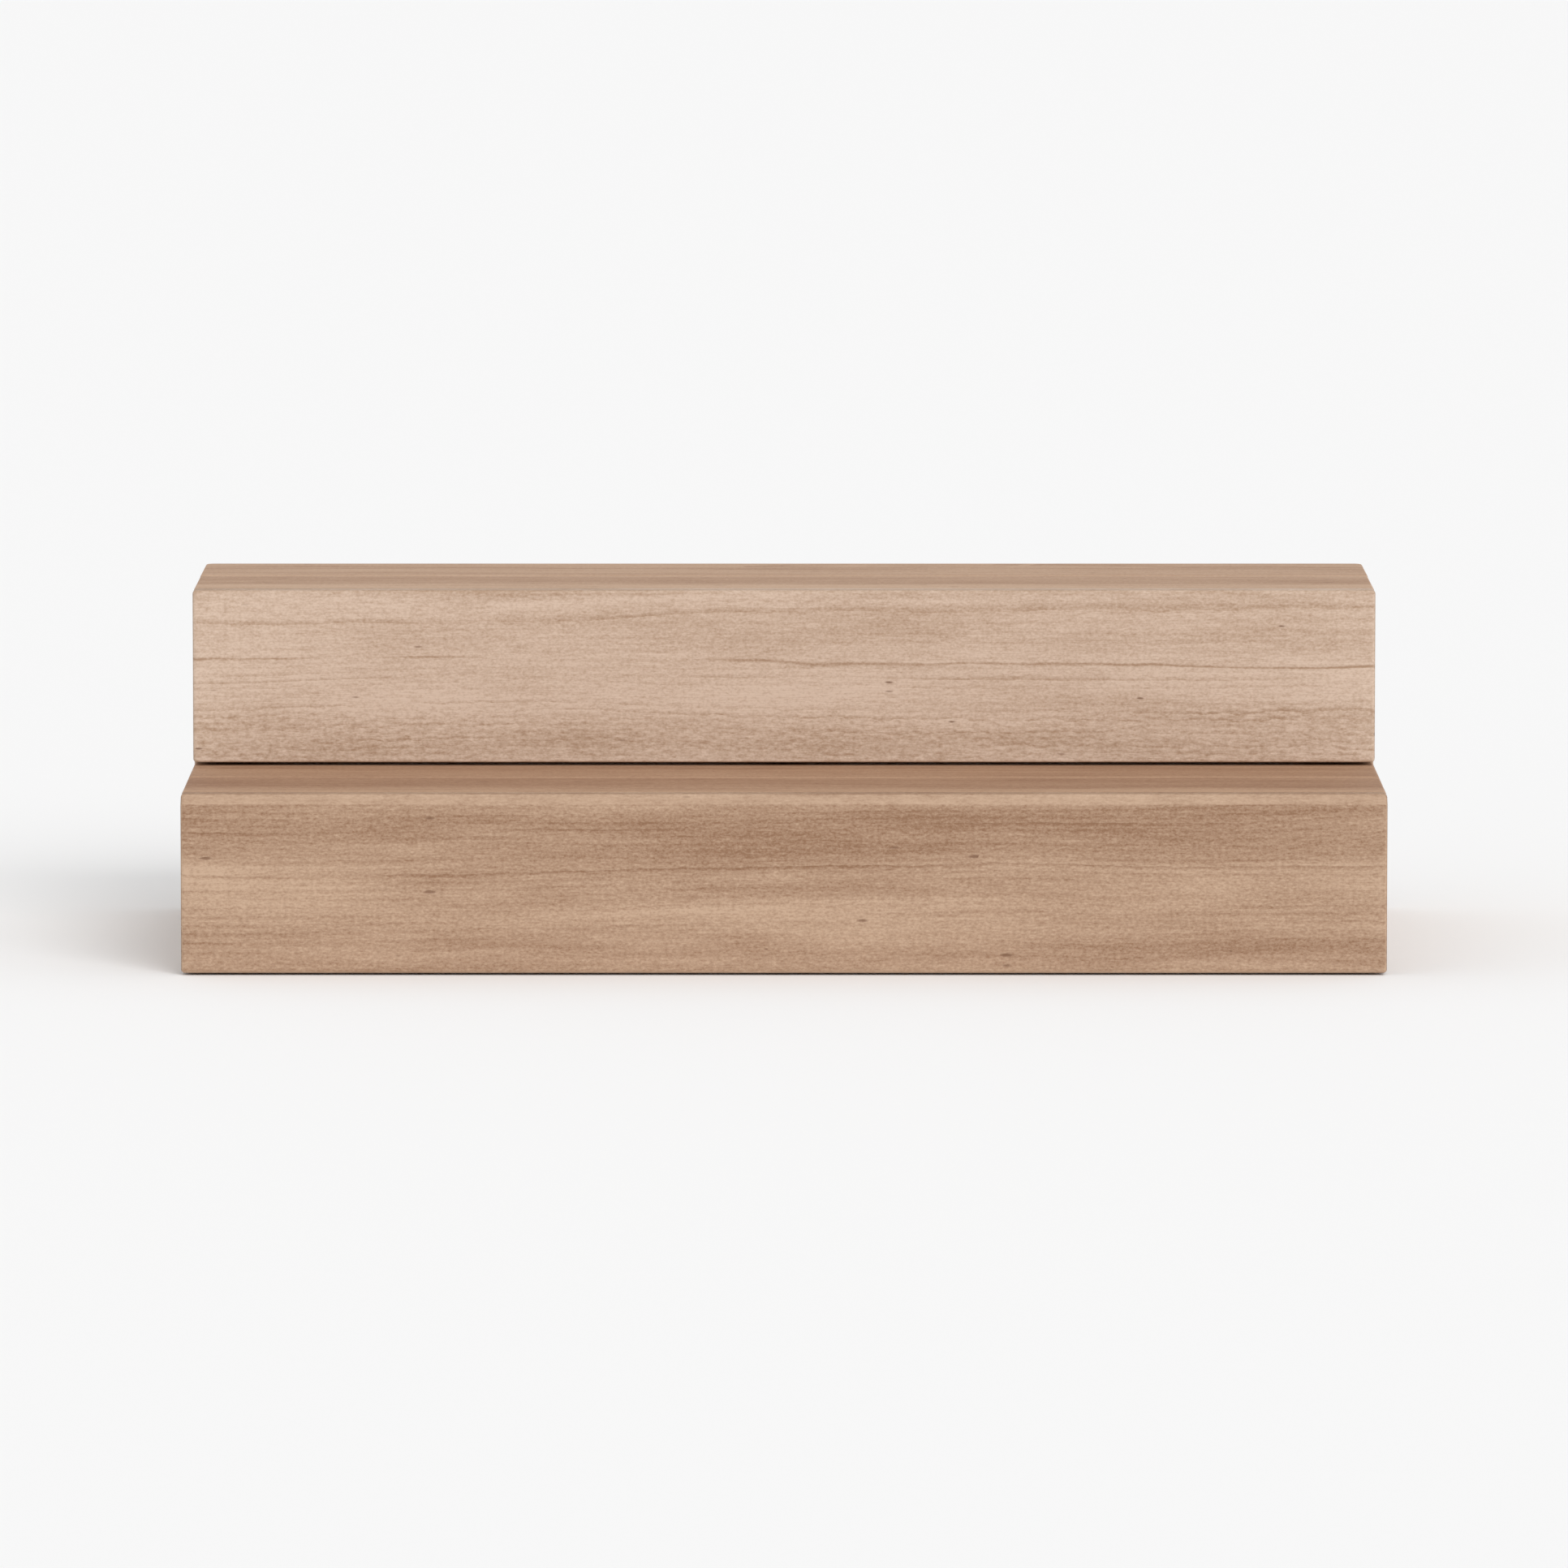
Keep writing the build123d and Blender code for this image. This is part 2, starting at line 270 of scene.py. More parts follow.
class Tree:
    """Adds nodes to a tree of any kind; each input is a value, a tuple or another node's output."""

    def __init__(self, graph):
        self.graph = graph

    def add(self, kind, inputs=(), **settings):
        """A new node with its settings, and its inputs given in order or by name."""
        made = self.graph.nodes.new(kind)
        for name, value in settings.items():
            setattr(made, name, value)
        for key, value in inputs.items() if isinstance(inputs, dict) else enumerate(inputs):
            if isinstance(value, bpy.types.NodeSocket):
                self.link(value, made.inputs[key])
            elif value is not None:
                made.inputs[key].default_value = value
        return made

    def link(self, source, target):
        self.graph.links.new(source, target)

    def maths(self, operation, *values):
        return self.add("ShaderNodeMath", values, operation=operation).outputs[0]

    def vector(self, operation, *values):
        return self.add("ShaderNodeVectorMath", values, operation=operation).outputs[0]

    def noise(self, place, stretch, detail=2.0, roughness=0.5):
        """Noise on a stretched place, as its value and its colour."""
        inputs = {
            "Vector": self.vector("MULTIPLY", place, stretch),
            "Scale": 1.0,
            "Detail": detail,
            "Roughness": roughness,
        }
        made = self.add("ShaderNodeTexNoise", inputs)
        return made.outputs[0], made.outputs[1]

    def band(self, value, start, end, low=0.0, high=1.0):
        """Smoothly low to high as value goes from start to end."""
        inputs = {"Value": value, "From Min": start, "From Max": end, "To Min": low, "To Max": high}
        return self.add("ShaderNodeMapRange", inputs, interpolation_type="SMOOTHSTEP").outputs[0]

    def mix(self, share, first, second, blend="MIX"):
        """A mix of two colours, which the node takes at its inputs 6 and 7."""
        inputs = {0: share, 6: first, 7: second}
        return self.add("ShaderNodeMix", inputs, data_type="RGBA", blend_type=blend).outputs[2]

    def around_half(self, value, gain):
        """How far a noise is above or below a half, times gain."""
        return self.maths("MULTIPLY", self.maths("SUBTRACT", value, 0.5), gain)


# Noises in the timber: stretch per metre along the grain and across it, detail and roughness
NOISES = {
    "wander": ((2.2, 8.0, 8.0), 2.0, 0.5),
    "ripple": ((42.0, 62.0, 62.0), 3.0, 0.5),
    "broken": ((5.0, 60.0, 60.0), 2.0, 0.5),
    "tones": ((1.3, 45.0, 1.0), 2.0, 0.5),
    "cloud": ((4.5, 28.0, 28.0), 3.0, 0.6),
    "streak": ((8.0, 290.0, 290.0), 3.0, 0.6),
    "dash": ((95.0, 500.0, 500.0), 2.0, 0.6),
    "speckle": ((300.0, 480.0, 480.0), 2.0, 0.7),
    "curl": ((110.0, 300.0, 300.0), 2.0, 0.6),
    "fibre": ((60.0, 1500.0, 1500.0), 2.0, 0.5),
    "pores": ((10.0, 900.0, 900.0), 2.0, 0.5),
    "wear_and_highlight_patches": ((30.0, 60.0, 60.0), 3.0, 0.6),
    "drift": ((3.1, 24.0, 24.0), 3.0, 0.55),
    "contour": ((4.0, 9.0, 9.0), 2.0, 0.5),
    "patch": ((5.0, 14.0, 14.0), 2.0, 0.5),
}

# How much each noise changes the tone, the first two times Band Gain and the last times Figure
BAND_GAINS = {"tones": 0.8, "cloud": 0.8}
PLAIN_GAINS = {"streak": 0.42, "dash": 0.8, "speckle": 1.4}
CURL_GAIN = 1.2

# How the rings darken more where the wood is curly, and the tone taken off to make room for them
CURLY_RINGS = (0.35, 0.68)
RING_ALLOWANCE = 0.1

# Growth rings: how the ripple grows with the figure, how weak a year can be, and where late wood lies
RIPPLE = (0.0095, 0.0015)
YEAR_CONTRAST = 3.0
WEAKEST_YEAR = 0.36
LATE_WOOD = (0.35, 0.9)
YEAR_END = (0.92, 1.0)
BROKEN_RINGS = (0.36, 0.6, 0.15, 1.0)

# Pin marks: cells per metre, the share of cells without one, and how a mark's size is drawn
MARK_CELLS = (70.0, 260.0, 260.0)
MARK_CHOSEN = (0.989, 0.99)
MARK_SIZE = (0.4, 0.16)
MARK_EDGE = (0.35, 1.0)
MARK_STRENGTH = 0.75

# Surface: where end grain and arrises begin, their tints (the arrises' tint is partly wear and partly a
# painted highlight), roughness, and the relief of the grain
END_FACING = (0.6, 0.9)
ARRIS_FACING = (0.75, 0.985)
END_TINT = (0.8, 0.74, 0.68, 1.0)
PORES_SHOWN = (0.45, 0.75)
PORE_DEPTH = 0.35
# Lightens the arrises towards pale: partly wear, partly a painted highlight where light catches the edges
WEAR_AND_HIGHLIGHT_TINT = (1.12, 1.13, 1.14, 1.0)
# Patches along the arrises where that wear and painted highlight show
WEAR_AND_HIGHLIGHT_PATCHES = (0.3, 0.65, 0.55, 1.0)
ROUGHNESS = 0.68
BEVEL_POLISH = 0.12
STREAK_ROUGHNESS = 0.25
RING_RELIEF = 0.35
RELIEF = 0.3 * MM
TIMBER_SHEEN = 0.35

# Tone across a board: how far it drifts in metres, and the contour lines' half width and strength
DRIFT = 0.028
CONTOUR_SHOWN = (0.4, 0.52)
CONTOUR_HALF_WIDTH = 0.013
CONTOUR_STRENGTH = 0.7
PATCH_HEIGHT = 0.12
STRAIGHT_FIGURE = 0.08

# How far each unit of seed moves a board through the noises
SEED_SHIFT = (7.31, 3.17, 5.73)

TIMBER_INPUTS = {
    "Place": ("NodeSocketVector", (0.0, 0.0, 0.0)),
    "Grain": ("NodeSocketVector", (1.0, 0.0, 0.0)),
    "Tone": ("NodeSocketFloat", 0.5),
    "Figure": ("NodeSocketFloat", 0.2),
    "Seed": ("NodeSocketFloat", 0.0),
    "Ring Spacing": ("NodeSocketFloat", 0.0055),
    "Pith": ("NodeSocketVector", (0.0, 0.055, -0.04)),
    "Lean": ("NodeSocketVector", (0.0, 0.02, 0.01)),
    "Wander": ("NodeSocketFloat", 0.02),
    "Ring Gain": ("NodeSocketFloat", 0.35),
    "Band Gain": ("NodeSocketFloat", 1.0),
    # How strongly the arrises are lightened, as wear and a painted highlight
    "Edge Wear And Highlight": ("NodeSocketFloat", 0.5),
    "Pale": ("NodeSocketColor", (0.6, 0.5, 0.4, 1.0)),
    "Deep": ("NodeSocketColor", (0.3, 0.2, 0.15, 1.0)),
    "Fleck": ("NodeSocketColor", (0.15, 0.08, 0.04, 1.0)),
}
TIMBER_OUTPUTS = {"Colour": "NodeSocketColor", "Roughness": "NodeSocketFloat", "Height": "NodeSocketFloat"}


def growth_rings(tree, place, seeded, given):
    """Late wood of each year's ring, 0 to 1, and the ring's radius, on a leaning and wandering pith."""
    wander = tree.vector("SUBTRACT", tree.noise(seeded, *NOISES["wander"])[1], (0.5, 0.5, 0.5))
    wander = tree.vector("SCALE", wander, None, None, given["Wander"])
    ripple = tree.vector("SUBTRACT", tree.noise(seeded, *NOISES["ripple"])[1], (0.5, 0.5, 0.5))
    reach = tree.maths("MULTIPLY_ADD", given["Figure"], *RIPPLE)
    ripple = tree.vector("SCALE", ripple, None, None, reach)
    along = tree.add("ShaderNodeSeparateXYZ", [place]).outputs[0]
    lean = tree.vector("SCALE", given["Lean"], None, None, along)
    from_pith = tree.vector("SUBTRACT", tree.vector("SUBTRACT", place, given["Pith"]), lean)
    from_pith = tree.vector("ADD", tree.vector("ADD", from_pith, wander), ripple)
    radial = tree.vector("MULTIPLY", from_pith, (0.0, 1.0, 1.0))
    radius = tree.add("ShaderNodeVectorMath", [radial], operation="LENGTH").outputs[1]
    years = tree.maths("DIVIDE", radius, given["Ring Spacing"])
    year = tree.maths("FLOOR", years)
    season = tree.maths("FRACT", years)
    strength = tree.add(
        "ShaderNodeTexWhiteNoise", {"W": tree.maths("ADD", year, given["Seed"])}, noise_dimensions="1D"
    ).outputs[0]
    strength = tree.maths("ADD", tree.maths("POWER", strength, YEAR_CONTRAST), WEAKEST_YEAR)
    late = tree.maths("MULTIPLY", tree.band(season, *LATE_WOOD), tree.band(season, *YEAR_END, 1.0, 0.0))
    broken = tree.band(tree.noise(seeded, *NOISES["broken"])[0], *BROKEN_RINGS)
    return tree.maths("MULTIPLY", tree.maths("MULTIPLY", late, strength), broken), radius


def bevel_share(tree, normal):
    """0 on a board's faces and 1 on the arrises between them."""
    x, y, z = tree.add("ShaderNodeSeparateXYZ", [tree.vector("ABSOLUTE", normal)]).outputs
    flattest = tree.maths("MAXIMUM", tree.maths("MAXIMUM", x, y), z)
    return tree.band(flattest, *ARRIS_FACING, 1.0, 0.0)


def timber_group():
    """The shader group of every wooden piece: rings, streaks, flecks, end grain, and arrises lightened by
    wear and a painted highlight.
    """
    group = bpy.data.node_groups.new("timber", "ShaderNodeTree")
    for name, (kind, default) in TIMBER_INPUTS.items():
        group.interface.new_socket(name, in_out="INPUT", socket_type=kind).default_value = default
    for name, kind in TIMBER_OUTPUTS.items():
        group.interface.new_socket(name, in_out="OUTPUT", socket_type=kind)
    tree = Tree(group)
    given = tree.add("NodeGroupInput").outputs
    place = given["Place"]
    shift = tree.vector("SCALE", SEED_SHIFT, None, None, given["Seed"])
    seeded = tree.vector("ADD", place, shift)

    ring, radius = growth_rings(tree, place, seeded, given)
    along = tree.add("ShaderNodeSeparateXYZ", [seeded]).outputs[0]
    radial = tree.add("ShaderNodeCombineXYZ", [along, radius, given["Seed"]]).outputs[0]
    drawn = {"tones": tree.noise(radial, *NOISES["tones"])[0]}
    for name in ("cloud", "streak", "dash", "speckle", "curl", "fibre", "pores", "wear_and_highlight_patches"):
        drawn[name] = tree.noise(seeded, *NOISES[name])[0]

    curly_share = tree.maths("MULTIPLY_ADD", given["Figure"], *CURLY_RINGS)
    curly_gain = tree.maths("MULTIPLY", given["Ring Gain"], curly_share)
    tone = tree.maths("SUBTRACT", given["Tone"], RING_ALLOWANCE)
    tone = tree.maths("ADD", tone, tree.maths("MULTIPLY", ring, curly_gain))
    for name, gain in BAND_GAINS.items():
        tone = tree.maths("MULTIPLY_ADD", tree.around_half(drawn[name], gain), given["Band Gain"], tone)
    for name, gain in PLAIN_GAINS.items():
        tone = tree.maths("ADD", tone, tree.around_half(drawn[name], gain))
    tone = tree.maths("MULTIPLY_ADD", tree.around_half(drawn["curl"], CURL_GAIN), given["Figure"], tone)
    tone = tree.add("ShaderNodeClamp", [tone]).outputs[0]
    colour = tree.mix(tone, given["Pale"], given["Deep"])

    cells = tree.vector("MULTIPLY", seeded, MARK_CELLS)
    marks = tree.add("ShaderNodeTexVoronoi", {"Vector": cells, "Scale": 1.0})
    chance = tree.add("ShaderNodeSeparateColor", [marks.outputs["Color"]]).outputs
    size = tree.maths("MULTIPLY_ADD", chance[1], *MARK_SIZE)
    away = tree.maths("DIVIDE", marks.outputs["Distance"], size)
    shade = tree.band(away, *MARK_EDGE, MARK_STRENGTH, 0.0)
    mark = tree.maths("MULTIPLY", tree.band(chance[0], *MARK_CHOSEN), shade)
    colour = tree.mix(mark, colour, given["Fleck"])

    normal = tree.add(
        "ShaderNodeVectorTransform",
        [tree.add("ShaderNodeNewGeometry").outputs["Normal"]],
        vector_type="NORMAL",
        convert_from="WORLD",
        convert_to="OBJECT",
    ).outputs[0]
    endwise = tree.add("ShaderNodeVectorMath", [normal, given["Grain"]], operation="DOT_PRODUCT").outputs[1]
    end = tree.band(tree.maths("ABSOLUTE", endwise), *END_FACING)
    end_colour = tree.mix(1.0, colour, END_TINT, "MULTIPLY")
    end_colour = tree.mix(tree.band(drawn["pores"], *PORES_SHOWN, 0.0, PORE_DEPTH), end_colour, given["Deep"])
    colour = tree.mix(end, colour, end_colour)

    # Arrises lightened towards pale, partly as wear and partly as a painted highlight where light catches
    # them
    bevel = bevel_share(tree, normal)
    wear_and_highlight_patches = tree.band(drawn["wear_and_highlight_patches"], *WEAR_AND_HIGHLIGHT_PATCHES)
    worn_and_highlit = tree.mix(1.0, given["Pale"], WEAR_AND_HIGHLIGHT_TINT, "MULTIPLY")
    wear = tree.maths("MULTIPLY", tree.maths("MULTIPLY", bevel, wear_and_highlight_patches), given["Edge Wear And Highlight"])
    colour = tree.mix(wear, colour, worn_and_highlit)

    roughness = tree.maths("SUBTRACT", ROUGHNESS, tree.maths("MULTIPLY", bevel, BEVEL_POLISH))
    roughness = tree.maths("ADD", roughness, tree.around_half(drawn["streak"], STREAK_ROUGHNESS))
    height = tree.maths("MULTIPLY", tree.maths("ADD", drawn["fibre"], drawn["streak"]), 0.5)
    height = tree.maths("MULTIPLY_ADD", drawn["curl"], given["Figure"], height)
    height = tree.maths("SUBTRACT", height, tree.maths("MULTIPLY", ring, RING_RELIEF))
    height = tree.maths("SUBTRACT", height, mark)
    tree.add("NodeGroupOutput", {"Colour": colour, "Roughness": roughness, "Height": height})
    return group


def tone_across(tree, place, way, half, stops, contours):
    """The tone across a board, from stops of (share of the width, tone), wandering a little.

    contours are shares of the width where a thin dark line of late wood comes and goes.
    """
    across = tree.add("ShaderNodeSeparateXYZ", [place]).outputs[way]
    drift = tree.around_half(tree.noise(place, *NOISES["drift"])[0], DRIFT)
    inputs = {"Value": tree.maths("ADD", across, drift), "From Min": -half, "From Max": half}
    share = tree.add("ShaderNodeMapRange", inputs).outputs[0]
    ramp = tree.add("ShaderNodeValToRGB", [share])
    ramp.color_ramp.interpolation = "B_SPLINE"
    while len(ramp.color_ramp.elements) < len(stops):
        ramp.color_ramp.elements.new(1.0)
    for element, (position, tone) in zip(ramp.color_ramp.elements, stops):
        element.position = position
        element.color = (tone, tone, tone, 1.0)
    tone = ramp.outputs[0]
    shown = tree.band(tree.noise(place, *NOISES["contour"])[0], *CONTOUR_SHOWN)
    for contour in contours:
        off = tree.maths("ABSOLUTE", tree.maths("SUBTRACT", share, contour))
        line = tree.band(off, 0.0, CONTOUR_HALF_WIDTH, CONTOUR_STRENGTH, 0.0)
        tone = tree.maths("MULTIPLY_ADD", line, shown, tone)
    return tone


GRAIN_TURN = {"X": (0.0, 0.0, 0.0), "Y": (0.0, 0.0, math.pi / 2), "Z": (0.0, -math.pi / 2, 0.0)}


def fresh_material(name):
    """A material with only a surface shader and its output, and the tree that makes it."""
    material = bpy.data.materials.new(name)
    material.use_nodes = True
    tree = Tree(material.node_tree)
    material.node_tree.nodes.clear()
    surface = tree.add("ShaderNodeBsdfPrincipled")
    tree.add("ShaderNodeOutputMaterial", [surface.outputs[0]])
    return material, tree, surface


def link_surface(tree, surface, colour, roughness, height, relief):
    """Links a colour, a roughness and a bump of the given depth in metres to a surface."""
    bump = tree.add("ShaderNodeBump", {"Height": height, "Strength": 1.0, "Distance": relief})
    for value, socket in ((colour, "Base Color"), (roughness, "Roughness"), (bump.outputs[0], "Normal")):
        tree.link(value, surface.inputs[socket])


def timber_material(name, low, high, grain, pale, deep, stops=(), contours=(), way=2, figured=(), **given):
    """Timber for one board between two corners, with its grain along X, Y or Z.

    stops and contours give its tone across its width, and figured the heights between which its grain
    turns curly. The rest are inputs of the timber group.
    """
    material, tree, surface = fresh_material(name)
    place = tree.add(
        "ShaderNodeMapping",
        {
            "Vector": tree.add("ShaderNodeTexCoord").outputs["Object"],
            "Location": (low + high) / 2,
            "Rotation": GRAIN_TURN[grain],
        },
        vector_type="TEXTURE",
    ).outputs[0]
    group = bpy.data.node_groups.get("timber") or timber_group()
    timber = tree.add("ShaderNodeGroup", node_tree=group)
    values = {
        "Grain": [float(axis == grain) for axis in AXES],
        "Ring Spacing": bpy.context.scene.spa_steps_sizes.ring_spacing,
        "Pale": (*pale, 1.0),
        "Deep": (*deep, 1.0),
        "Fleck": (*bpy.context.scene.spa_steps_colours.fleck, 1.0),
    }
    values |= {key.replace("_", " ").title(): value for key, value in given.items()}
    for socket, value in values.items():
        timber.inputs[socket].default_value = value
    tree.link(place, timber.inputs["Place"])
    if stops:
        half = (high[way] - low[way]) / 2
        tree.link(tone_across(tree, place, way, half, stops, contours), timber.inputs["Tone"])
    if figured:
        height = tree.add("ShaderNodeSeparateXYZ", [place]).outputs[2]
        patchy = tree.around_half(tree.noise(place, *NOISES["patch"])[0], PATCH_HEIGHT)
        figure = tree.band(tree.maths("ADD", height, patchy), *figured, STRAIGHT_FIGURE, 1.0)
        tree.link(figure, timber.inputs["Figure"])
    surface.inputs["Specular IOR Level"].default_value = TIMBER_SHEEN
    link_surface(tree, surface, *timber.outputs, RELIEF)
    return material


# Noises in the hardware, in the same form as the timber's
HARDWARE_NOISES = {
    "smear": ((900.0, 900.0, 900.0), 3.0, 0.5),
    "scratch": ((4000.0, 4000.0, 700.0), 2.0, 0.5),
    "dust": ((90.0, 90.0, 90.0), 4.0, 0.6),
    "skin": ((1600.0, 1600.0, 1600.0), 2.0, 0.5),
}

# Steel and rubber: where the smear or dust shows and how strongly, its colour, and the surface
STEEL_SMEARED = (0.35, 0.7, 0.0, 0.4)
STEEL_SMEAR_COLOUR = (0.28, 0.26, 0.24, 1.0)
STEEL_ROUGHNESS = 0.3
STEEL_SMEAR_ROUGHNESS = 0.35
STEEL_RELIEF = 0.02 * MM
RUBBER_DUSTED = (0.45, 0.8, 0.0, 0.35)
RUBBER_DUST_COLOUR = (0.16, 0.15, 0.14, 1.0)
RUBBER_ROUGHNESS = 0.72
RUBBER_DUST_ROUGHNESS = 0.3
RUBBER_SHEEN = 0.4
RUBBER_RELIEF = 0.05 * MM


def steel_material():
    """Stainless steel for the screws, smeared and finely scratched."""
    colours = bpy.context.scene.spa_steps_colours
    material, tree, surface = fresh_material("stainless_steel")
    place = tree.add("ShaderNodeMapping", [tree.add("ShaderNodeTexCoord").outputs["Object"]]).outputs[0]
    smear = tree.noise(place, *HARDWARE_NOISES["smear"])[0]
    scratch = tree.noise(place, *HARDWARE_NOISES["scratch"])[0]
    colour = tree.mix(tree.band(smear, *STEEL_SMEARED), (*colours.steel, 1.0), STEEL_SMEAR_COLOUR)
    roughness = tree.maths("ADD", STEEL_ROUGHNESS, tree.around_half(smear, STEEL_SMEAR_ROUGHNESS))
    surface.inputs["Metallic"].default_value = 1.0
    link_surface(tree, surface, colour, roughness, scratch, STEEL_RELIEF)
    return material


def rubber_material():
    """Moulded dark rubber with a fine matt skin and a little dust."""
    colours = bpy.context.scene.spa_steps_colours
    material, tree, surface = fresh_material("foot_rubber")
    place = tree.add("ShaderNodeMapping", [tree.add("ShaderNodeTexCoord").outputs["Object"]]).outputs[0]
    dust = tree.noise(place, *HARDWARE_NOISES["dust"])[0]
    skin = tree.noise(place, *HARDWARE_NOISES["skin"])[0]
    colour = tree.mix(tree.band(dust, *RUBBER_DUSTED), (*colours.rubber, 1.0), RUBBER_DUST_COLOUR)
    roughness = tree.maths("ADD", RUBBER_ROUGHNESS, tree.around_half(dust, RUBBER_DUST_ROUGHNESS))
    surface.inputs["Specular IOR Level"].default_value = RUBBER_SHEEN
    link_surface(tree, surface, colour, roughness, skin, RUBBER_RELIEF)
    return material


# Pieces

def new_piece(name, mesh, material, slot, *nodes):
    """Shows a mesh in place of some nodes of the frame."""
    piece = bpy.data.objects.new(name, mesh)
    bpy.context.scene.collection.objects.link(piece)
    mesh.materials.clear()
    mesh.materials.append(material)
    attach(piece, "root")
    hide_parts(*nodes)
    return piece


def finish_node(node, material):
    """Gives a node of the frame its finish."""
    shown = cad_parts[node]
    shown.data.materials.clear()
    shown.data.materials.append(material)


RISER_SEED_STEP = 11.3

# Tone across each board, as stops of (share of the width, tone)
LOWER_RISER_STOPS = ((0.0, 0.62), (0.2, 0.55), (0.4, 0.38), (0.56, 0.34), (0.68, 0.68), (0.92, 0.66))
UPPER_RISER_STOPS = (
    (0.0, 0.44), (0.22, 0.44), (0.32, 0.3), (0.6, 0.36), (0.78, 0.56), (0.92, 0.26), (0.975, 0.3), (1.0, 0.85)
)
TREAD_STOPS = {
    "front": ((0.0, 0.25), (0.26, 0.3), (0.36, 0.75), (0.84, 0.75), (0.94, 0.5), (1.0, 0.5)),
    "back": ((0.0, 0.5), (0.35, 0.45), (0.52, 0.5), (0.58, 0.85), (0.64, 0.5), (1.0, 0.45)),
}


class SPASTEPS_OT_risers(bpy.types.Operator):
    """Makes the two riser boards, with planed noses and easing at the ends"""

    bl_idname = "spa_steps.risers"
    bl_label = "Risers"

    def execute(self, context):
        sizes = context.scene.spa_steps_sizes
        colours = context.scene.spa_steps_colours
        boards = {
            "lower": {
                "nose": sizes.lower_nose,
                "bottom": sizes.arris,
                "pale": colours.lower_pale,
                "deep": colours.lower_deep,
                "grain": {
                    "stops": LOWER_RISER_STOPS,
                    "pith": (0.0, 0.1, -0.14),
                    "lean": (0.0, 0.01, 0.02),
                    "ring_gain": 0.4,
                    "band_gain": 1.3,
                },
            },
            "upper": {
                "nose": sizes.upper_nose,
                "bottom": sizes.joint_arris,
                "pale": colours.upper_pale,
                "deep": colours.upper_deep,
                "grain": {
                    "stops": UPPER_RISER_STOPS,
                    "contours": (0.59,),
                    # The upper riser's arrises get little of the wear and painted highlight
                    "edge_wear_and_highlight": 0.1,
                    "figured": (-0.005, -0.05),
                    "pith": (0.0, 0.09, 0.125),
                    "lean": (0.0, 0.015, -0.008),
                    "ring_gain": 0.4,
                },
            },
        }
        for order, (level, board) in enumerate(boards.items()):
            node = level + "_riser"
            low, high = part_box(node)
            section = riser_section(low, high, board["nose"], board["bottom"], sizes.joint_arris)
            mesh = board_mesh(node, section, 0, low.x, high.x, sizes.arris, sizes.arris_wear)
            material = timber_material(
                node + "_timber",
                low,
                high,
                "X",
                board["pale"],
                board["deep"],
                seed=sizes.grain_seed + RISER_SEED_STEP * order,
                **board["grain"],
            )
            new_piece(level + "_riser_board", mesh, material, level + "_riser_cedar", node)
        return {"FINISHED"}


class SPASTEPS_OT_treads(bpy.types.Operator):
    """Makes the four tread boards, two to a step"""

    bl_idname = "spa_steps.treads"
    bl_label = "Treads"

    def execute(self, context):
        sizes = context.scene.spa_steps_sizes
        colours = context.scene.spa_steps_colours
        # The lower tread's darker colours are painted shade under the upper step
        tones = {
            "lower": (colours.lower_tread_shaded_pale, colours.lower_tread_shaded_deep),
            "upper": (colours.upper_tread_pale, colours.upper_tread_deep),
        }
        end_arris = 2.5 * MM
        draw = random.Random(sizes.grain_seed + 2)
        for level, (pale, deep) in tones.items():
            for side in ("front", "back"):
                node = f"{level}_tread_{side}_board"
                low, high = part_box(node)
                if (level, side) == ("upper", "back"):
                    outline = round_backed_outline(low, high, end_arris, sizes.tread_corner)
                    mesh = board_mesh(node, outline, 2, low.z, high.z, sizes.joint_arris, sizes.arris_wear)
                else:
                    section = flat_section(low, high, 0, sizes.joint_arris)
                    mesh = board_mesh(node, section, 0, low.x, high.x, end_arris, sizes.arris_wear)
                material = timber_material(
                    node + "_timber",
                    low,
                    high,
                    "X",
                    pale,
                    deep,
                    stops=TREAD_STOPS[side],
                    way=1,
                    seed=draw.uniform(10, 60),
                    pith=(0.0, draw.uniform(-0.05, 0.05), -0.09),
                    lean=(0.0, draw.uniform(-0.02, 0.02), 0.008),
                    ring_gain=0.55,
                    band_gain=0.8,
                )
                new_piece(node + "_eased", mesh, material, "tread_cedar", node)
        return {"FINISHED"}


class SPASTEPS_OT_side_boards(bpy.types.Operator):
    """Makes the four side boards, two to a side"""

    bl_idname = "spa_steps.side_boards"
    bl_label = "Side Boards"

    def execute(self, context):
        sizes = context.scene.spa_steps_sizes
        colours = context.scene.spa_steps_colours
        draw = random.Random(sizes.grain_seed)
        for side in ("left", "right"):
            for level, pale, deep in (
                ("lower", colours.lower_pale, colours.lower_deep),
                ("upper", colours.upper_pale, colours.upper_deep),
            ):
                node = f"{side}_{level}_side_board"
                low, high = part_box(node)
                section = flat_section(low, high, 1, sizes.joint_arris)
                mesh = board_mesh(node, section, 1, low.y, high.y, sizes.joint_arris, sizes.arris_wear)
                material = timber_material(
                    node + "_timber",
                    low,
                    high,
                    "Y",
                    pale,
                    deep,
                    seed=draw.uniform(20, 60),
                    pith=(0.0, draw.choice((-1, 1)) * 0.05, draw.uniform(-0.06, 0.06)),
                    lean=(0.0, draw.uniform(-0.03, 0.03), draw.uniform(-0.03, 0.03)),
                    ring_gain=0.35,
                    band_gain=0.8,
                )
                new_piece(node + "_eased", mesh, material, "side_cedar", node)
        return {"FINISHED"}


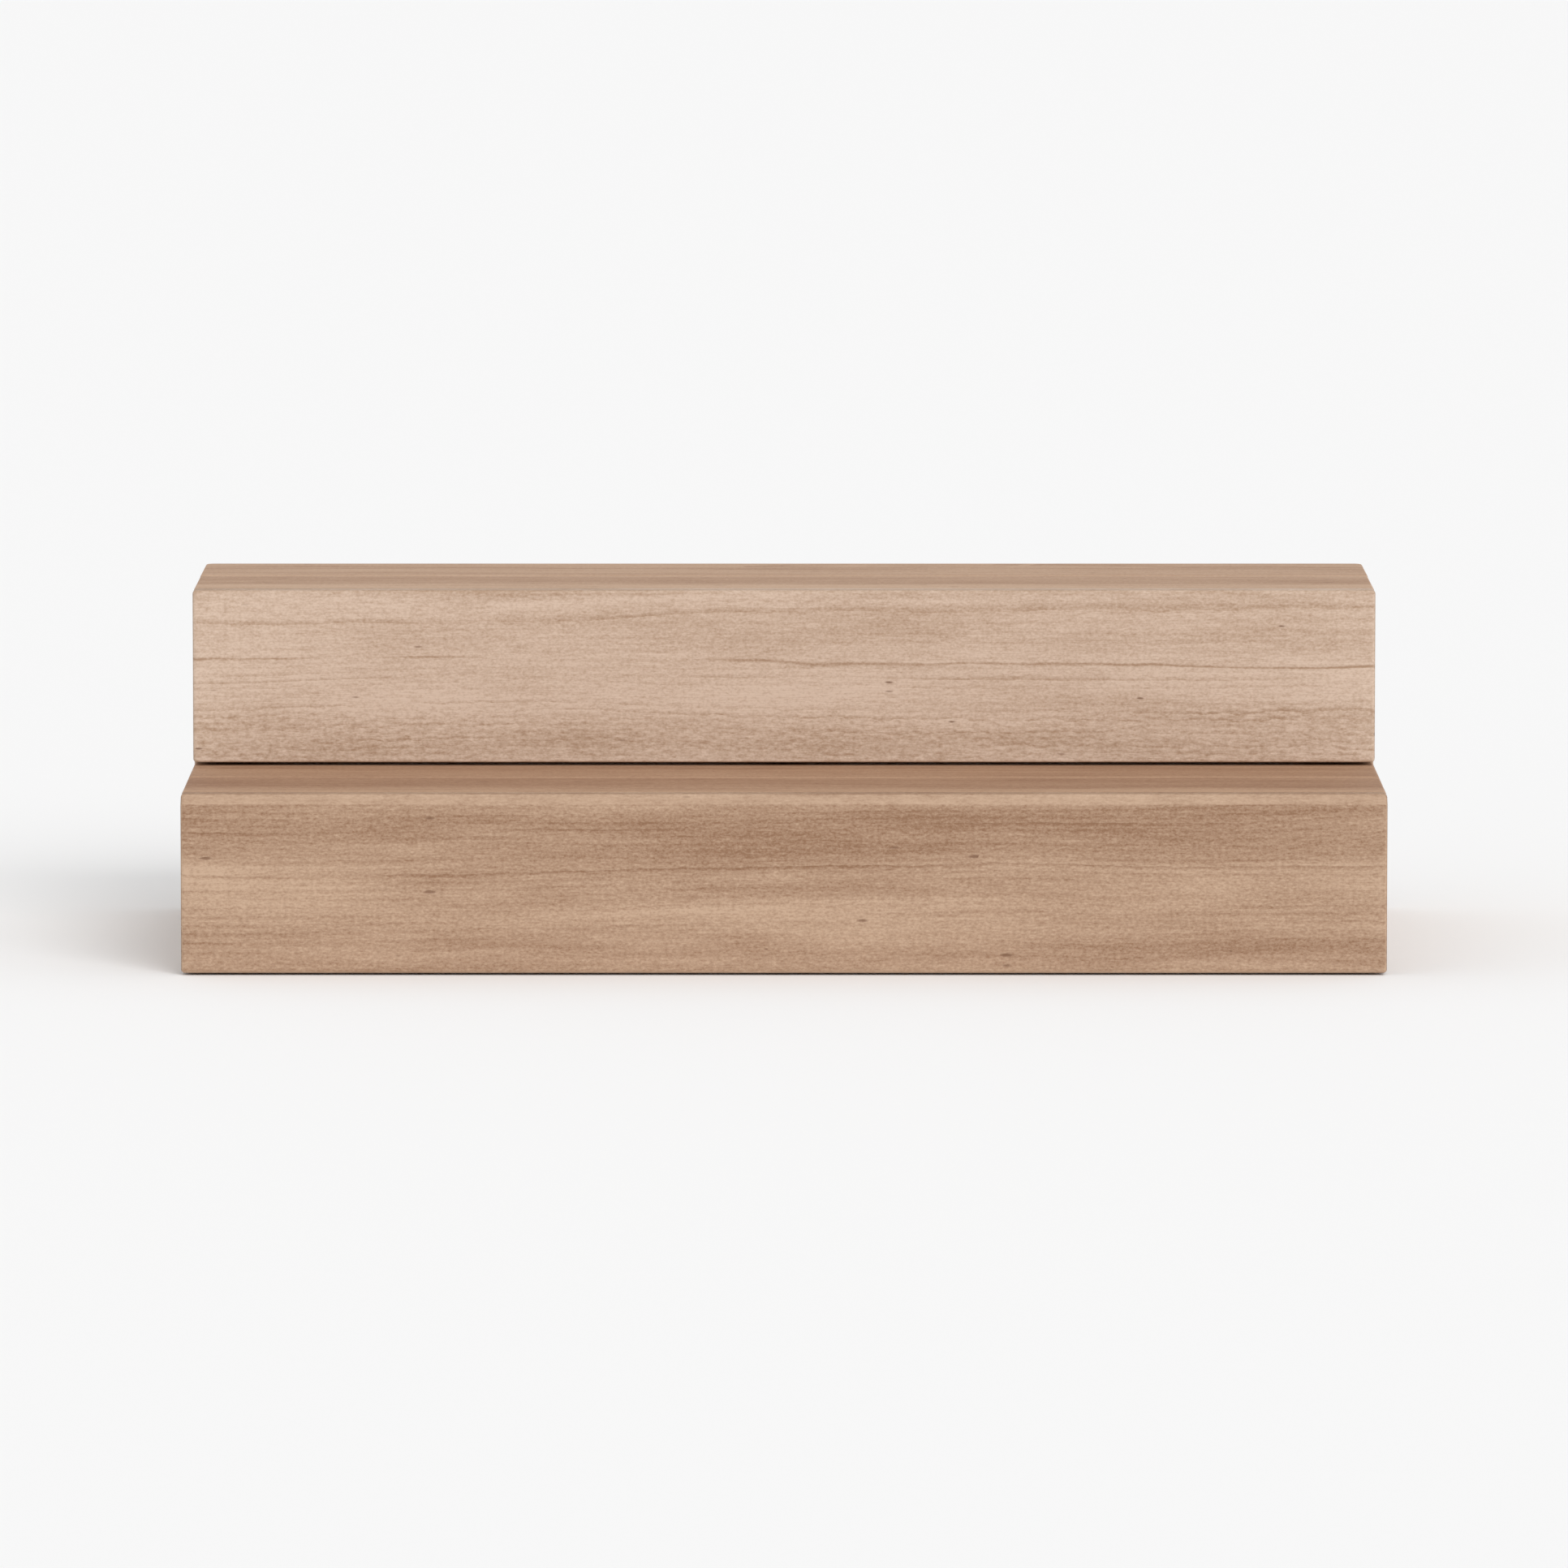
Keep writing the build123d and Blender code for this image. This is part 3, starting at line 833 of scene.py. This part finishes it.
class SPASTEPS_OT_frame(bpy.types.Operator):
    """Finishes the posts, bearers and rear rails of the frame"""

    bl_idname = "spa_steps.frame"
    bl_label = "Frame"

    def execute(self, context):
        sizes = context.scene.spa_steps_sizes
        colours = context.scene.spa_steps_colours
        draw = random.Random(sizes.grain_seed + 1)
        grains = {f"{column}_{row}_post": "Z" for column in COLUMNS for row in ROWS}
        grains |= {f"{column}_{level}_bearer": "Y" for column in COLUMNS for level in ("lower", "upper")}
        grains |= {f"rear_{place}_rail": "X" for place in ("bottom", "top")}
        for node, grain in grains.items():
            low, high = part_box(node)
            material = timber_material(
                node + "_timber",
                low,
                high,
                grain,
                colours.frame_pale,
                colours.frame_deep,
                seed=draw.uniform(60, 200),
                pith=(0.0, draw.uniform(-0.07, 0.07), draw.choice((-1, 1)) * 0.05),
                lean=(0.0, draw.uniform(-0.03, 0.03), draw.uniform(-0.03, 0.03)),
                ring_gain=0.4,
                band_gain=0.9,
            )
            finish_node(node, material)
        return {"FINISHED"}


class SPASTEPS_OT_foot_pads(bpy.types.Operator):
    """Finishes the nine rubber pads under the posts"""

    bl_idname = "spa_steps.foot_pads"
    bl_label = "Foot Pads"

    def execute(self, context):
        material = rubber_material()
        for column in COLUMNS:
            for row in ROWS:
                finish_node(f"{column}_{row}_foot_pad", material)
        return {"FINISHED"}


# Screws

def screw_places(node):
    """Where each screw of a node's group sits: its head's middle, which way that faces, its length."""
    touching = 0.001 * MM
    end_depth = 0.2 * MM
    solid = bmesh.new()
    solid.from_mesh(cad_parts[node].data)
    bmesh.ops.remove_doubles(solid, verts=solid.verts, dist=touching)
    left = set(solid.verts)
    places = []
    while left:
        island = [left.pop()]
        for vertex in island:
            for edge in vertex.link_edges:
                other = edge.other_vert(vertex)
                if other in left:
                    left.remove(other)
                    island.append(other)
        points = [vertex.co for vertex in island]
        low = Vector([min(point[axis] for point in points) for axis in range(3)])
        high = Vector([max(point[axis] for point in points) for axis in range(3)])
        size = high - low
        axis = max(range(3), key=lambda i: size[i])
        middle = (low + high) / 2
        across = (axis + 1) % 3
        head_end = max(
            (low, high),
            key=lambda end: max(
                abs(point[across] - middle[across])
                for point in points
                if abs(point[axis] - end[axis]) < end_depth
            ),
        )
        head = middle.copy()
        head[axis] = head_end[axis]
        places.append((head, (head - middle).normalized(), size[axis]))
    solid.free()
    return sorted(places, key=lambda place: tuple(place[0]))


def screw_mesh(name, length):
    """A countersunk screw with a six-lobed recess, its head's middle at the origin and facing up."""
    sizes = bpy.context.scene.spa_steps_sizes
    sides = 36
    lobe_count = 6
    lobe_depth = 0.16
    head, shank, recess = sizes.screw_head, sizes.screw_shank, sizes.screw_recess
    lobe = 0.46 * head
    tip = 1.6 * shank
    rim = 0.35 * MM
    recess_edge = 0.25 * MM
    neck = 0.6 * MM
    point = 0.3 * MM
    cone_end = -rim - (head - shank)
    # Each ring's radius, how lobed it is and its height, from the recess's floor to the point
    rings = [
        (0.9 * lobe, 1.0, -recess),
        (lobe, 1.0, -recess_edge),
        (1.12 * lobe, 0.6, 0.0),
        (0.9 * head, 0.0, 0.0),
        (head, 0.0, -rim),
        (shank * 1.1, 0.0, cone_end),
        (shank, 0.0, cone_end - neck),
        (shank, 0.0, -length + tip),
        (point, 0.0, -length),
    ]
    vertices = []
    for radius, lobes, height in rings:
        for i in range(sides):
            angle = 2 * math.pi * i / sides
            r = radius * (1 + lobe_depth * lobes * math.cos(lobe_count * angle))
            vertices.append((r * math.cos(angle), r * math.sin(angle), height))
    faces = [tuple(range(sides)), tuple(reversed(range((len(rings) - 1) * sides, len(rings) * sides)))]
    for ring in range(len(rings) - 1):
        for i in range(sides):
            a = ring * sides + i
            b = ring * sides + (i + 1) % sides
            faces.append((a, a + sides, b + sides, b))
    mesh = bpy.data.meshes.new(name)
    mesh.from_pydata(vertices, [], faces)
    return mesh


def repeat_group():
    """The Geometry Nodes tree that stands a part on each point, facing its way and spun at random."""
    group = bpy.data.node_groups.new("parts on points", "GeometryNodeTree")
    for name, kind in (
        ("Places", "NodeSocketGeometry"),
        ("Part", "NodeSocketObject"),
        ("Finish", "NodeSocketMaterial"),
        ("Spin", "NodeSocketFloat"),
        ("Seed", "NodeSocketInt"),
    ):
        group.interface.new_socket(name, in_out="INPUT", socket_type=kind)
    group.interface.new_socket("Parts", in_out="OUTPUT", socket_type="NodeSocketGeometry")
    tree = Tree(group)
    given = tree.add("NodeGroupInput").outputs
    named = tree.add("GeometryNodeInputNamedAttribute", {"Name": "facing"}, data_type="FLOAT_VECTOR")
    facing = named.outputs[0]
    aligned = tree.add("FunctionNodeAlignRotationToVector", {"Vector": facing}, axis="Z").outputs[0]
    spin = tree.add(
        "FunctionNodeRandomValue", {"Max": given["Spin"], "Seed": given["Seed"]}, data_type="FLOAT"
    )
    about_up = {"Axis": (0.0, 0.0, 1.0), "Angle": spin.outputs[1]}
    turn = tree.add("FunctionNodeAxisAngleToRotation", about_up).outputs[0]
    turned = tree.add("FunctionNodeRotateRotation", [aligned, turn], rotation_space="LOCAL").outputs[0]
    part = tree.add("GeometryNodeObjectInfo", {"Object": given["Part"]}).outputs["Geometry"]
    placed = tree.add(
        "GeometryNodeInstanceOnPoints", {"Points": given["Places"], "Instance": part, "Rotation": turned}
    ).outputs[0]
    real = tree.add("GeometryNodeRealizeInstances", [placed]).outputs[0]
    dressed = {"Geometry": real, "Material": given["Finish"]}
    finished = tree.add("GeometryNodeSetMaterial", dressed).outputs[0]
    tree.add("NodeGroupOutput", [finished])
    return group


def repeated_mesh(name, template, places, facings, material, spin, seed):
    """The plain mesh of a template stood on every place."""
    points = bpy.data.meshes.new(name)
    points.from_pydata(places, [], [])
    facing = points.attributes.new("facing", "FLOAT_VECTOR", "POINT")
    facing.data.foreach_set("vector", [value for way in facings for value in way])
    holder = bpy.data.objects.new(name, points)
    part = bpy.data.objects.new(name + "_template", template)
    for made in (holder, part):
        bpy.context.scene.collection.objects.link(made)
    group = bpy.data.node_groups.get("parts on points") or repeat_group()
    modifier = holder.modifiers.new("parts", "NODES")
    modifier.node_group = group
    given = {"Part": part, "Finish": material, "Spin": spin, "Seed": seed}
    for item in group.interface.items_tree:
        if item.in_out == "INPUT" and item.name in given:
            modifier[item.identifier] = given[item.name]
    seen = holder.evaluated_get(bpy.context.evaluated_depsgraph_get())
    mesh = bpy.data.meshes.new_from_object(seen)
    mesh.name = name
    holder.modifiers.remove(modifier)
    for made in (holder, part):
        bpy.data.objects.remove(made)
    return mesh


class SPASTEPS_OT_screws(bpy.types.Operator):
    """Makes every group of countersunk screws"""

    bl_idname = "spa_steps.screws"
    bl_label = "Screws"

    def execute(self, context):
        material = steel_material()
        groups = ("tread", "riser", "bearer", "side_board", "rear_rail", "foot_pad")
        for order, group in enumerate(groups):
            node = group + "_screws"
            places = screw_places(node)
            template = screw_mesh(node + "_screw", places[0][2])
            heads = [place[0] for place in places]
            facings = [place[1] for place in places]
            mesh = repeated_mesh(node + "_turned", template, heads, facings, material, 2 * math.pi, order)
            new_piece(node + "_turned", mesh, material, "stainless_screw", node)
        return {"FINISHED"}


# Stage: places in metres, the lens and its sensor in millimetres

FLOOR_REACH = 60
FLOOR_ROUGHNESS = 0.9
FLOOR_SHEEN = 0.1
WORLD_STRENGTH = 0.76
KEY_STRENGTH = 1.5
KEY_ANGLE = math.radians(35)
KEY_FROM = Vector((0.4, -0.86, 0.59))
CAMERA_PLACE = (0, -11.852, 1.3715)
CAMERA_AIM = Vector((0, -0.08, 0.152))
CAMERA_LENS = 300
CAMERA_SENSOR = 36
CAMERA_REACH = 200


class SPASTEPS_OT_stage(bpy.types.Operator):
    """Makes the floor, the soft light and the camera"""

    bl_idname = "spa_steps.stage"
    bl_label = "Stage"

    def execute(self, context):
        colours = context.scene.spa_steps_colours
        corners = [(x * FLOOR_REACH, y * FLOOR_REACH, 0) for x, y in ((-1, -1), (1, -1), (1, 1), (-1, 1))]
        mesh = bpy.data.meshes.new("studio_floor")
        mesh.from_pydata(corners, [], [(0, 1, 2, 3)])
        floor = bpy.data.objects.new("studio_floor", mesh)
        context.scene.collection.objects.link(floor)
        material, _, surface = fresh_material("studio_floor")
        surface.inputs["Base Color"].default_value = (*colours.floor, 1.0)
        surface.inputs["Roughness"].default_value = FLOOR_ROUGHNESS
        surface.inputs["Specular IOR Level"].default_value = FLOOR_SHEEN
        mesh.materials.append(material)

        world = bpy.data.worlds.new("studio")
        world.use_nodes = True
        light = world.node_tree.nodes["Background"].inputs
        light["Color"].default_value = (1.0, 1.0, 1.0, 1.0)
        light["Strength"].default_value = WORLD_STRENGTH
        context.scene.world = world

        sun = bpy.data.lights.new("key", "SUN")
        sun.energy = KEY_STRENGTH
        sun.angle = KEY_ANGLE
        key = bpy.data.objects.new("key", sun)
        key.rotation_euler = KEY_FROM.to_track_quat("Z", "Y").to_euler()
        context.scene.collection.objects.link(key)

        lens = bpy.data.cameras.new("studio_camera")
        lens.lens = CAMERA_LENS
        lens.sensor_width = CAMERA_SENSOR
        lens.clip_end = CAMERA_REACH
        camera = bpy.data.objects.new("studio_camera", lens)
        camera.location = CAMERA_PLACE
        camera.rotation_euler = (camera.location - CAMERA_AIM).to_track_quat("Z", "Y").to_euler()
        context.scene.collection.objects.link(camera)
        context.scene.camera = camera
        context.scene.view_settings.view_transform = "Standard"
        return {"FINISHED"}


class SPASTEPS_PT_panel(bpy.types.Panel):
    """Sizes, colours and steps of the spa steps"""

    bl_idname = "SPASTEPS_PT_panel"
    bl_label = "Spa Steps"
    bl_space_type = "VIEW_3D"
    bl_region_type = "UI"
    bl_category = "Spa Steps"

    def draw(self, context):
        for group in (context.scene.spa_steps_sizes, context.scene.spa_steps_colours):
            for name in group.__annotations__:
                self.layout.prop(group, name)
        for operator in OPERATORS:
            self.layout.operator(operator.bl_idname)


OPERATORS = (
    SPASTEPS_OT_risers,
    SPASTEPS_OT_treads,
    SPASTEPS_OT_side_boards,
    SPASTEPS_OT_frame,
    SPASTEPS_OT_foot_pads,
    SPASTEPS_OT_screws,
    SPASTEPS_OT_stage,
)
CLASSES = (SpaStepsSizes, SpaStepsColours, *OPERATORS, SPASTEPS_PT_panel)


def register():
    for kind in CLASSES:
        bpy.utils.register_class(kind)
    bpy.types.Scene.spa_steps_sizes = PointerProperty(type=SpaStepsSizes)
    bpy.types.Scene.spa_steps_colours = PointerProperty(type=SpaStepsColours)


def unregister():
    del bpy.types.Scene.spa_steps_colours
    del bpy.types.Scene.spa_steps_sizes
    for kind in reversed(CLASSES):
        bpy.utils.unregister_class(kind)


def main():
    register()
    bpy.ops.spa_steps.risers()
    bpy.ops.spa_steps.treads()
    bpy.ops.spa_steps.side_boards()
    bpy.ops.spa_steps.frame()
    bpy.ops.spa_steps.foot_pads()
    bpy.ops.spa_steps.screws()
    bpy.ops.spa_steps.stage()
    bpy.context.view_layer.update()


if __name__ == "__main__":
    main()
